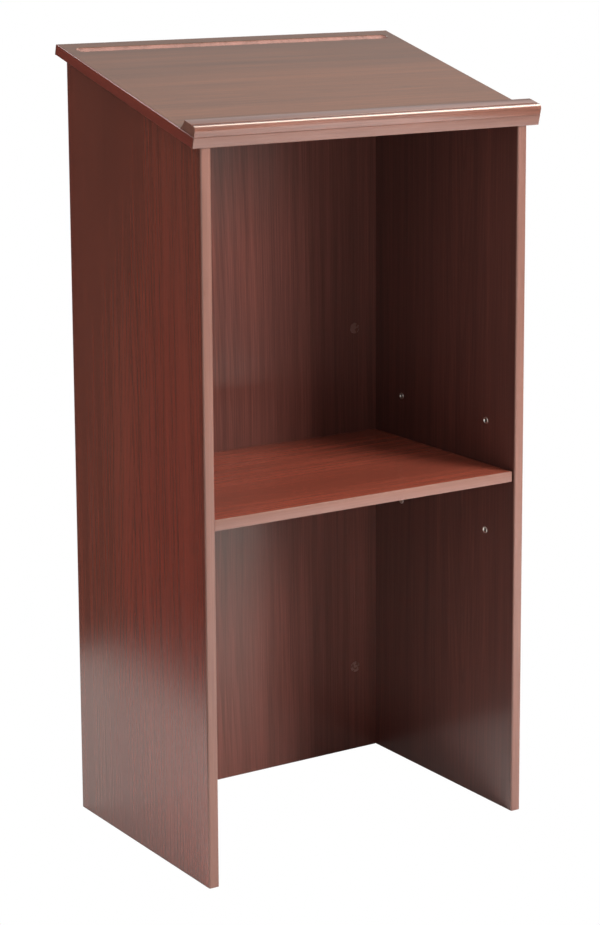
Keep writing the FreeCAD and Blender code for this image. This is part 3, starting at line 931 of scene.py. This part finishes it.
class LECTERN_OT_build_pin_sleeves(bpy.types.Operator):
    """Builds the nickelled sleeves for the shelf pins"""

    bl_idname = "lectern.build_pin_sleeves"
    bl_label = "Pin sleeves"

    def execute(self, context):
        sizes, colours = settings(context)
        nickel = plated_metal("nickel_plate", colours.nickel, 0.34, 0.25)
        low, high = corners_of(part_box("shelf_pin_sleeves"))
        inner_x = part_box("right_side_panel")[0].x
        flange = sizes.sleeve_flange
        mesh = bmesh.new()
        heights = (low.z + flange, (low.z + high.z) / 2, high.z - flange)
        for side in (1, -1):
            for y in (low.y + flange, high.y - flange):
                for z in heights:
                    self.sleeve(mesh, Vector((side * inner_x, y, z)), X * -side, high.x - inner_x, sizes)
        make_piece("nickel_pin_sleeves", mesh, "lectern", ["shelf_pin_sleeves"], nickel)
        return {"FINISHED"}

    @staticmethod
    def sleeve(mesh, mouth, outward, length, sizes):
        """One sleeve, drawn as half its section and turned about the bore."""
        bore, shank, flange = sizes.sleeve_bore, sizes.sleeve_shank, sizes.sleeve_flange
        proud = sizes.sleeve_flange_height
        lead, rim = 0.7 * mm, 0.55 * mm

        def at(out, away):
            return mouth + outward * out + Z * away

        outline = Outline(at(-length, bore), mesh)
        outline.run_to(at(-length, shank), at(0, shank), at(0, flange), at(proud - rim, flange))
        outline.turn(at(proud - rim, flange - rim), outward.cross(Z) * -1, math.pi / 2, RIM_STEPS)
        outline.run_to(at(proud, bore + lead), at(proud - lead, bore)).close()
        outline.spin(mouth, outward, SLEEVE_SIDES)


class LECTERN_OT_build_shelf_pins(bpy.types.Operator):
    """Builds the four shelf pins, each a round shank with a back plate and a tab under the shelf"""

    bl_idname = "lectern.build_shelf_pins"
    bl_label = "Shelf pins"

    def execute(self, context):
        sizes, colours = settings(context)
        nickel = plated_metal("nickel_pins", colours.nickel, 0.26, 0.3)
        for side_name, side in (("left", -1), ("right", 1)):
            for place in ("near", "far"):
                node = "shelf_pin_" + side_name + "_" + place
                mesh = self.pin(*corners_of(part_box(node)), side, sizes)
                make_piece(node + "_plated", mesh, "pin_" + side_name + "_" + place, [node], nickel)
        return {"FINISHED"}

    @staticmethod
    def pin(low, high, side, sizes):
        """A pin in the box of its node; side is the side panel that it plugs into."""
        outer = high.x if side > 0 else low.x
        inner = low.x if side > 0 else high.x
        radius = sizes.pin_radius
        middle_y = (low.y + high.y) / 2
        tab_length = (high.x - low.x) / 2
        plate_face = inner + side * tab_length
        plate_inner = plate_face - side * sizes.pin_plate

        def at(x, z):
            return Vector((x, low.y, z))

        tab_underside = high.z - sizes.pin_tab
        angle = Outline(at(plate_face, high.z))
        angle.run_to(at(inner, high.z), at(inner, tab_underside), at(plate_inner, tab_underside),
                     at(plate_inner, low.z), at(plate_face, low.z)).close()
        mesh = angle.pull(Y * (high.y - low.y))
        ease(mesh, mesh.edges[:], sizes.pin_eased, EASE_STEPS)
        axis_point = Vector((outer, middle_y, high.z - radius))
        tip = 0.6 * mm
        inward = X * -side
        outline = Outline(axis_point, mesh)
        outline.run_to(axis_point + Z * (radius - tip))
        outline.turn(axis_point + Z * (radius - tip) + inward * tip, Z.cross(inward), math.pi / 2, TIP_STEPS)
        length = abs(outer - plate_face) + sizes.pin_plate / 2
        outline.run_to(axis_point + inward * length + Z * radius, axis_point + inward * length)
        outline.spin(axis_point, inward, PIN_SIDES)
        return mesh


class LECTERN_OT_finish_fittings(bpy.types.Operator):
    """Gives the cams, bolts, dowels and screws their finishes"""

    bl_idname = "lectern.finish_fittings"
    bl_label = "Fastenings"

    def execute(self, context):
        colours = context.scene.lectern_finishes
        zinc = plated_metal("die_cast_zinc", (0.52, 0.52, 0.53), 0.45, 0.15)
        dress(zinc, "front_cam_locks", "top_cam_locks")
        bright = plated_metal("bright_steel", (0.66, 0.65, 0.60), 0.32, 0.3)
        dress(bright, "front_cam_bolts", "top_cam_bolts")
        dress(raw_beech("beech_across", colours.beech, "X"), "front_dowels")
        dress(raw_beech("beech_upright", colours.beech, "Z"), "top_dowels")
        dress(blackened_steel("black_screw_steel"), "paper_stop_screws")
        return {"FINISHED"}


class LECTERN_OT_set_stage(bpy.types.Operator):
    """Lays the floor and sets the lights, the surround and the camera"""

    bl_idname = "lectern.set_stage"
    bl_label = "Stage"

    def execute(self, context):
        stage = context.scene.lectern_stage
        self.floor(stage)
        self.surround(context.scene, stage)
        self.light("front_right_softbox", stage.key_power, (1.71, -2.80, 1.81), (-0.1, 0.1, 0.7), 1.3, 1.3,
                   mirrored=False)
        self.light("mirrored_card", stage.card_power, (1.37, -3.0, 0.92), (-0.2, 0.15, 0.98), 0.75, 0.80,
                   lighting=False)
        self.light("mirrored_card_right", stage.card_power, (2.5, -3.0, 0.8), (0.28, -0.2, 0.7), 0.45, 1.5,
                   lighting=False)
        self.light("left_softbox", stage.side_power, (-2.6, 0.1, 1.9), (-0.28, 0.0, 0.7), 1.6, 1.6)
        self.light("mirrored_card_left", stage.glint_power, (-2.8, -1.67, 0.75), (-0.28, -0.2, 0.6), 0.8, 2.2,
                   lighting=False)
        self.light("back_left_softbox", stage.rim_power, (-1.5, 2.1, 3.6), (-0.28, 0.0, 1.1), 0.7, 0.7,
                   lighting=False)
        strip = self.light("overhead_strip", stage.strip_power, (1.50, -0.33, 3.2), (0.0, -0.2, 1.0),
                           1.5, 2.2, lighting=False)
        warm_white = (1.0, 0.90, 0.78)
        strip.color = warm_white
        self.camera(context.scene, stage)
        context.scene.view_settings.view_transform = "Standard"
        return {"FINISHED"}

    @staticmethod
    def floor(stage):
        """A wide pale floor that only lights the lectern, and a white sheet on it that the boards mirror.

        The sheet ends short of the speaker's left, so the left side's upper part mirrors a darker room.
        Neither is seen by the camera: the lectern is shown cut out on white.
        """
        paint = Finish("pale_floor")
        x, y, _ = paint.place()
        cloud = paint.noise(x * 1.5, y * 1.5, 0.0, detail=3.0)
        colour = paint.ramp(cloud, [(0.3, dim(stage.floor_colour, 0.985)), (0.7, tuple(stage.floor_colour))])
        paint.finish(base_color=colour, roughness=0.85, specular_ior_level=0.2)
        half, sheet_height = 30.0, 0.05 * mm
        areas = {"floor": (-half, half, -half, half, 0.0),
                 "floor_sheet": (-0.70, 1.6, -2.2, 0.9, sheet_height)}
        for name, (west, east, south, north, height) in areas.items():
            mesh = bmesh.new()
            middle = Vector(((west + east) / 2, (south + north) / 2, height))
            place = Matrix.Translation(middle) @ Matrix.Diagonal((east - west, north - south, 1, 1))
            bmesh.ops.create_grid(mesh, x_segments=2, y_segments=2, size=0.5, matrix=place)
            area = as_object(mesh, name)
            area.data.materials.append(paint.material)
            mirrored = name == "floor_sheet"
            area.visible_camera = False
            area.visible_diffuse = area.visible_shadow = not mirrored
            area.visible_glossy = mirrored

    @staticmethod
    def surround(scene, stage):
        """White for the camera, even light on the lectern, and a bright ceiling for its gloss to mirror."""
        world = bpy.data.worlds.new("studio")
        scene.world = world
        world.use_nodes = True
        graph = Graph(world.node_tree)
        background = next(node for node in graph.tree.nodes if node.type == "BACKGROUND")
        direction = graph.node("ShaderNodeTexCoord", output="Generated")
        right, away, height = (graph.node("ShaderNodeSeparateXYZ", None, {"Vector": direction}, output=axis)
                               for axis in "XYZ")
        seen = graph.node("ShaderNodeLightPath", output="Is Camera Ray")
        glossy = graph.node("ShaderNodeLightPath", output="Is Glossy Ray")
        dark_room, bright_ceiling, bright_corner = 0.05, 0.72, 0.8
        to_front_left = (right + away) * -0.707
        mirrored = (height.step(0.10, 0.50) * bright_ceiling
                    + to_front_left.step(0.80, 0.97) * bright_corner + dark_room)
        from_the_floor, from_the_sky = 0.20, 1.25
        overcast = (height.step(0.0, 1.0) * from_the_sky + from_the_floor) * stage.surround
        even = glossy * (mirrored - overcast) + overcast
        graph.feed(background.inputs["Color"], (1, 1, 1, 1))
        graph.feed(background.inputs["Strength"], seen * (1 - even) + even)

    @staticmethod
    def light(name, power, place, target, width, height, lighting=True, mirrored=True):
        """A flat light pointing at a target, which may be kept from lighting or from being mirrored."""
        data = bpy.data.lights.new(name, "AREA")
        data.shape = "RECTANGLE"
        data.size, data.size_y = width, height
        data.energy = power
        lamp = bpy.data.objects.new(name, data)
        lamp.location = place
        aim = Vector(target) - Vector(place)
        lamp.rotation_euler = aim.to_track_quat("-Z", "Y").to_euler()
        lamp.visible_camera = False
        lamp.visible_diffuse = lighting
        lamp.visible_glossy = mirrored
        bpy.context.scene.collection.objects.link(lamp)
        return data

    @staticmethod
    def camera(scene, stage):
        data = bpy.data.cameras.new("camera")
        data.lens = stage.lens
        data.shift_y = stage.shift
        camera = bpy.data.objects.new("camera", data)
        turn = Matrix.Rotation(-stage.camera_turn, 4, "Z")
        tilt = Matrix.Rotation(math.pi / 2 - stage.camera_tilt, 4, "X")
        roll = Matrix.Rotation(stage.camera_roll, 4, "Z")
        camera.matrix_world = Matrix.Translation(stage.camera_place) @ turn @ tilt @ roll
        scene.collection.objects.link(camera)
        scene.camera = camera


BUILD_STEPS = (
    LECTERN_OT_finish_boards,
    LECTERN_OT_build_side_edging,
    LECTERN_OT_build_shelf_edging,
    LECTERN_OT_build_top_edging,
    LECTERN_OT_build_top_board,
    LECTERN_OT_build_paper_stop,
    LECTERN_OT_build_cam_caps,
    LECTERN_OT_build_pin_sleeves,
    LECTERN_OT_build_shelf_pins,
    LECTERN_OT_finish_fittings,
    LECTERN_OT_set_stage,
)
PROPERTY_GROUPS = {
    "lectern_sizes": LecternSizes,
    "lectern_finishes": LecternFinishes,
    "lectern_stage": LecternStage,
}


class LECTERN_PT_panel(bpy.types.Panel):
    """Sizes, finishes and build steps of the lectern"""

    bl_idname = "LECTERN_PT_panel"
    bl_label = "Lectern"
    bl_space_type = "VIEW_3D"
    bl_region_type = "UI"
    bl_category = "Lectern"

    def draw(self, context):
        for step in BUILD_STEPS:
            self.layout.operator(step.bl_idname)
        for group_name in PROPERTY_GROUPS:
            group = getattr(context.scene, group_name)
            column = self.layout.column(heading=group_name)
            for name in group.__annotations__:
                column.prop(group, name)


def register():
    for group_name, group in PROPERTY_GROUPS.items():
        bpy.utils.register_class(group)
        setattr(bpy.types.Scene, group_name, bpy.props.PointerProperty(type=group))
    for item in (*BUILD_STEPS, LECTERN_PT_panel):
        bpy.utils.register_class(item)


def unregister():
    for item in reversed((*BUILD_STEPS, LECTERN_PT_panel)):
        bpy.utils.unregister_class(item)
    for group_name, group in PROPERTY_GROUPS.items():
        delattr(bpy.types.Scene, group_name)
        bpy.utils.unregister_class(group)


def main():
    register()
    for step in BUILD_STEPS:
        getattr(bpy.ops.lectern, step.bl_idname.split(".")[1])()


if __name__ == "__main__":
    main()
